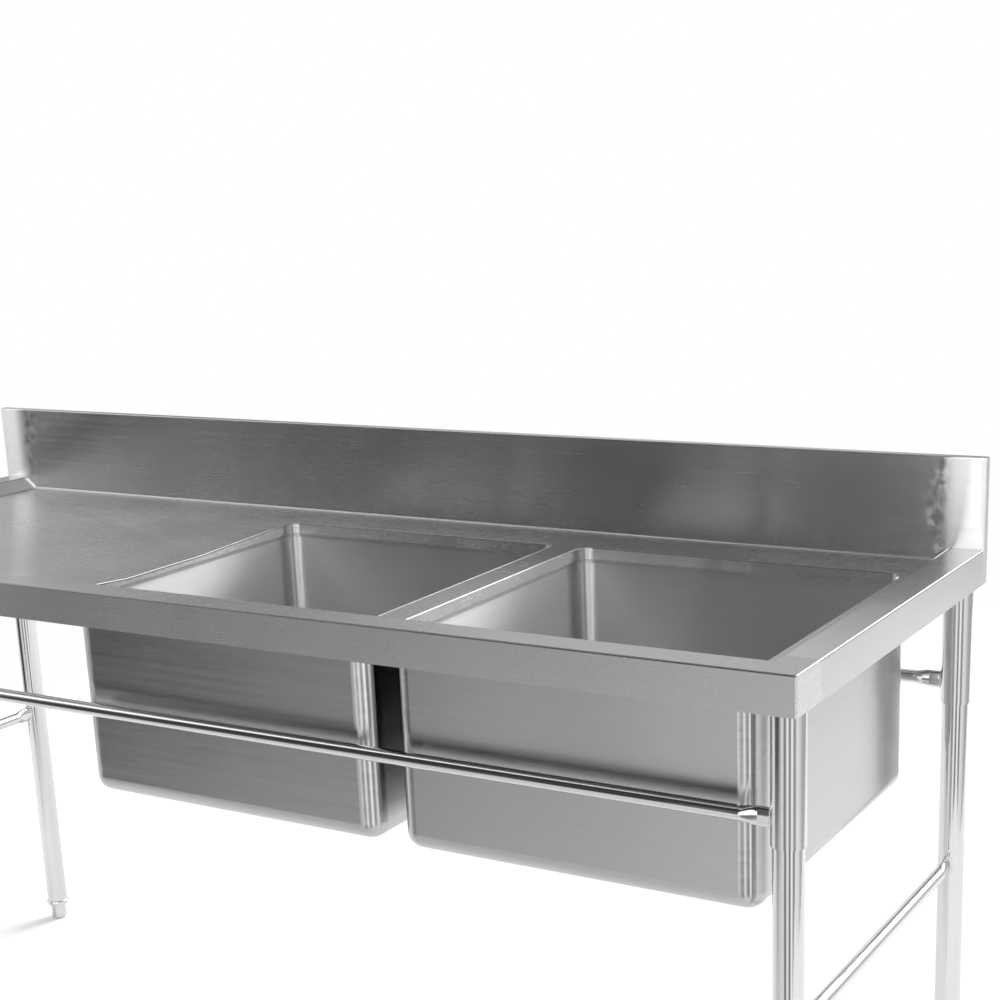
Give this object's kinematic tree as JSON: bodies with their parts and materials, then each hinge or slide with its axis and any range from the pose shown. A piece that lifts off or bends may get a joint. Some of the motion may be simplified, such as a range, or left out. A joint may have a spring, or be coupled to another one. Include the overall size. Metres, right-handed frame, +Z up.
{
  "type": "restaurant sink bench",
  "caption": "Free-standing stainless steel sink bench with deep square bowls at the right, a sloping drainboard at the left, a raised rim, a splashback and round tube legs.",
  "frame": {"origin": "on the floor, under the middle of the bench's length and depth", "axes": "+X to the right along the bench as seen from the front, +Y to the back (the splashback side), +Z up"},
  "size_m": [1.9, 0.7, 1.03],
  "materials": {
    "sheet_steel": "satin, brushed along the bench",
    "folded_steel": "mill finish",
    "tube_steel": "polished along the tube",
    "insert_steel": "polished",
    "thread_steel": "machined",
    "foot_steel": "turned and polished",
    "waste_steel": "polished",
    "gasket_rubber": "matt",
    "backnut_plastic": "moulded"
  },
  "bodies": {
    "bench": {"front_rim": "sheet_steel", "left_rim": "sheet_steel", "right_rim": "sheet_steel", "drainboard": "sheet_steel", "bowl_deck": "sheet_steel", "splashback": "sheet_steel", "front_channel": "folded_steel", "rear_channel": "folded_steel", "drainboard_channel": "folded_steel", "front_rail": "tube_steel", "rear_rail": "tube_steel", "socket_screws": "thread_steel", "splash_end_cap_left": "sheet_steel", "end_channel_left": "folded_steel", "side_rail_left": "tube_steel", "bowl_left": "sheet_steel", "waste_body_left": "waste_steel", "waste_gasket_left": "gasket_rubber", "waste_backnut_left": "backnut_plastic", "splash_end_cap_right": "sheet_steel", "end_channel_right": "folded_steel", "side_rail_right": "tube_steel", "bowl_right": "sheet_steel", "waste_body_right": "waste_steel", "waste_gasket_right": "gasket_rubber", "waste_backnut_right": "backnut_plastic", "socket_plate_front_left": "folded_steel", "leg_socket_front_left": "tube_steel", "leg_front_left": "tube_steel", "foot_insert_front_left": "insert_steel", "socket_plate_front_right": "folded_steel", "leg_socket_front_right": "tube_steel", "leg_front_right": "tube_steel", "foot_insert_front_right": "insert_steel", "socket_plate_rear_left": "folded_steel", "leg_socket_rear_left": "tube_steel", "leg_rear_left": "tube_steel", "foot_insert_rear_left": "insert_steel", "socket_plate_rear_right": "folded_steel", "leg_socket_rear_right": "tube_steel", "leg_rear_right": "tube_steel", "foot_insert_rear_right": "insert_steel"},
    "foot_front_left": {"foot_front_left": "foot_steel"},
    "stem_front_left": {"foot_stem_front_left": "thread_steel"},
    "foot_front_right": {"foot_front_right": "foot_steel"},
    "stem_front_right": {"foot_stem_front_right": "thread_steel"},
    "foot_rear_left": {"foot_rear_left": "foot_steel"},
    "stem_rear_left": {"foot_stem_rear_left": "thread_steel"},
    "foot_rear_right": {"foot_rear_right": "foot_steel"},
    "stem_rear_right": {"foot_stem_rear_right": "thread_steel"},
    "basket_left": {"strainer_basket_left": "waste_steel", "basket_handle_left": "waste_steel"},
    "basket_right": {"strainer_basket_right": "waste_steel", "basket_handle_right": "waste_steel"}
  },
  "joints": [
    {"name": "front_left_foot_height", "type": "slide", "parent": "bench", "child": "foot_front_left", "axis": [0, 0, -1], "range_m": [0, 0.021]},
    {"name": "front_left_stem_turn", "type": "hinge", "parent": "foot_front_left", "child": "stem_front_left", "pos_m": [-0.922, -0.305, 0.04], "axis": [0, 0, -1], "range_deg": [0, 4320]},
    {"name": "front_right_foot_height", "type": "slide", "parent": "bench", "child": "foot_front_right", "axis": [0, 0, -1], "range_m": [0, 0.021]},
    {"name": "front_right_stem_turn", "type": "hinge", "parent": "foot_front_right", "child": "stem_front_right", "pos_m": [0.922, -0.305, 0.04], "axis": [0, 0, -1], "range_deg": [0, 4320]},
    {"name": "rear_left_foot_height", "type": "slide", "parent": "bench", "child": "foot_rear_left", "axis": [0, 0, -1], "range_m": [0, 0.021]},
    {"name": "rear_left_stem_turn", "type": "hinge", "parent": "foot_rear_left", "child": "stem_rear_left", "pos_m": [-0.922, 0.31, 0.04], "axis": [0, 0, -1], "range_deg": [0, 4320]},
    {"name": "rear_right_foot_height", "type": "slide", "parent": "bench", "child": "foot_rear_right", "axis": [0, 0, -1], "range_m": [0, 0.021]},
    {"name": "rear_right_stem_turn", "type": "hinge", "parent": "foot_rear_right", "child": "stem_rear_right", "pos_m": [0.922, 0.31, 0.04], "axis": [0, 0, -1], "range_deg": [0, 4320]},
    {"name": "left_basket_lift", "type": "slide", "parent": "bench", "child": "basket_left", "axis": [0, 0, 1], "range_m": [0, 0.36]},
    {"name": "right_basket_lift", "type": "slide", "parent": "bench", "child": "basket_right", "axis": [0, 0, 1], "range_m": [0, 0.36]}
  ],
  "couplings": [
    {"joint": "front_left_stem_turn", "follows": "front_left_foot_height", "rad_per_m": 3590.4},
    {"joint": "front_right_stem_turn", "follows": "front_right_foot_height", "rad_per_m": 3590.4},
    {"joint": "rear_left_stem_turn", "follows": "rear_left_foot_height", "rad_per_m": 3590.4},
    {"joint": "rear_right_stem_turn", "follows": "rear_right_foot_height", "rad_per_m": 3590.4}
  ]
}
